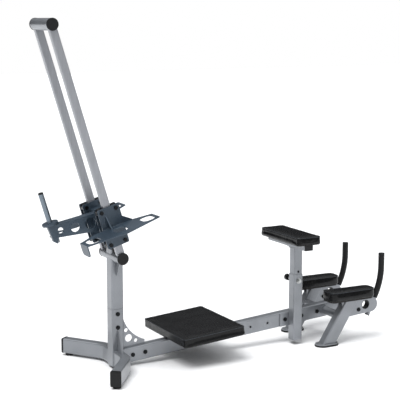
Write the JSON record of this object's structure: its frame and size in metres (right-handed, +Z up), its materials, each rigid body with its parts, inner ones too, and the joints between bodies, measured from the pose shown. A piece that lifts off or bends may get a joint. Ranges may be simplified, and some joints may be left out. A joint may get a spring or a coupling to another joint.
{
  "type": "kneeling glute press machine",
  "caption": "Plate-loaded kneeling press: a roller carriage with foot plates and a weight peg climbs leaning guide rails behind knee, chest and elbow pads.",
  "frame": {"origin": "bottom centre of the machine's bounding box, on the floor", "axes": "+X the way the user faces, towards the elbow pads; +Y the user's left; +Z up"},
  "size_m": [1.9142, 0.698, 1.7349],
  "materials": {
    "frame_paint": "satin silver-grey powder coat",
    "rail_paint": "satin light silver powder coat",
    "carriage_paint": "satin blue-grey powder coat",
    "peg_steel": "turned steel, satin",
    "zinc_steel": "bright zinc plate",
    "black_bolts": "black oxide",
    "black_plastic": "moulded black plastic",
    "roller_nylon": "turned black nylon",
    "rubber": "moulded black rubber",
    "grip_rubber": "smooth black rubber sleeve",
    "pad_board": "plywood with a stapled black cover",
    "pad_vinyl": "black grained vinyl upholstery"
  },
  "bodies": {
    "frame": {"lower_post": "frame_paint", "upper_post": "frame_paint", "splice_sleeves": "frame_paint", "rear_leg_right": "frame_paint", "rear_leg_left": "frame_paint", "end_caps": "black_plastic", "rubber_feet": "rubber", "gussets": "frame_paint", "frame_bolts": "black_bolts", "main_rail": "frame_paint", "tube_plugs": "black_plastic", "front_cross_tube": "frame_paint", "front_leg_right": "frame_paint", "front_leg_left": "frame_paint", "front_foot_plates": "frame_paint", "elbow_bracket_right": "frame_paint", "elbow_bracket_left": "frame_paint", "elbow_boards": "pad_board", "elbow_pad_right": "pad_vinyl", "elbow_pad_left": "pad_vinyl", "grip_bar_right": "frame_paint", "grip_bar_left": "frame_paint", "grip_right": "grip_rubber", "grip_left": "grip_rubber", "knee_pad_brackets": "frame_paint", "knee_pad_board": "pad_board", "knee_pad": "pad_vinyl", "pad_screws": "black_bolts", "guide_rail_right": "rail_paint", "guide_rail_left": "rail_paint", "lower_cross_tube": "frame_paint", "upper_cross_tube": "frame_paint", "bumpers": "rubber", "chest_mount_plate": "frame_paint", "chest_outer_post": "frame_paint", "clamp_screw": "zinc_steel", "pin_barrel": "zinc_steel"},
    "chest_support": {"chest_inner_post": "frame_paint", "chest_cross_tube": "frame_paint", "chest_tube_caps": "black_plastic", "chest_pad_board": "pad_board", "chest_pad": "pad_vinyl", "chest_pad_screws": "black_bolts"},
    "pull_pin": {"pull_pin": "zinc_steel", "pull_pin_knob": "black_plastic"},
    "carriage": {"side_plates_right": "carriage_paint", "side_plates_left": "carriage_paint", "carriage_crossmembers": "carriage_paint", "roller_axles": "black_bolts", "foot_plate_right": "carriage_paint", "foot_plate_left": "carriage_paint", "weight_arm": "carriage_paint", "weight_disc": "carriage_paint", "weight_peg": "peg_steel", "weight_peg_caps": "black_plastic"},
    "rollers_front_top": {"rollers_front_top": "roller_nylon"},
    "rollers_front_low": {"rollers_front_low": "roller_nylon"},
    "rollers_rear_top": {"rollers_rear_top": "roller_nylon"},
    "rollers_rear_low": {"rollers_rear_low": "roller_nylon"}
  },
  "joints": [
    {"name": "carriage_slide", "type": "slide", "parent": "frame", "child": "carriage", "axis": [-0.2882, 0, 0.9576], "range_m": [0, 0.85]},
    {"name": "chest_height", "type": "slide", "parent": "frame", "child": "chest_support", "axis": [0, 0, 1], "range_m": [-0.05, 0.1]},
    {"name": "pin_pull", "type": "slide", "parent": "frame", "child": "pull_pin", "axis": [0, 1, 0], "range_m": [-0.014, 0]},
    {"name": "rollers_front_top_spin", "type": "hinge", "parent": "carriage", "child": "rollers_front_top", "pos_m": [-0.60732, 0, 0.83228], "axis": [0, 1, 0], "continuous": true},
    {"name": "rollers_front_low_spin", "type": "hinge", "parent": "carriage", "child": "rollers_front_low", "pos_m": [-0.5589, 0, 0.67141], "axis": [0, 1, 0], "continuous": true},
    {"name": "rollers_rear_top_spin", "type": "hinge", "parent": "carriage", "child": "rollers_rear_top", "pos_m": [-0.68163, 0, 0.80991], "axis": [0, 1, 0], "continuous": true},
    {"name": "rollers_rear_low_spin", "type": "hinge", "parent": "carriage", "child": "rollers_rear_low", "pos_m": [-0.63321, 0, 0.64904], "axis": [0, 1, 0], "continuous": true}
  ],
  "couplings": [
    {"joint": "rollers_front_top_spin", "follows": "carriage_slide", "rad_per_m": -53.191},
    {"joint": "rollers_front_low_spin", "follows": "carriage_slide", "rad_per_m": -53.191},
    {"joint": "rollers_rear_top_spin", "follows": "carriage_slide", "rad_per_m": 53.191},
    {"joint": "rollers_rear_low_spin", "follows": "carriage_slide", "rad_per_m": 53.191}
  ]
}
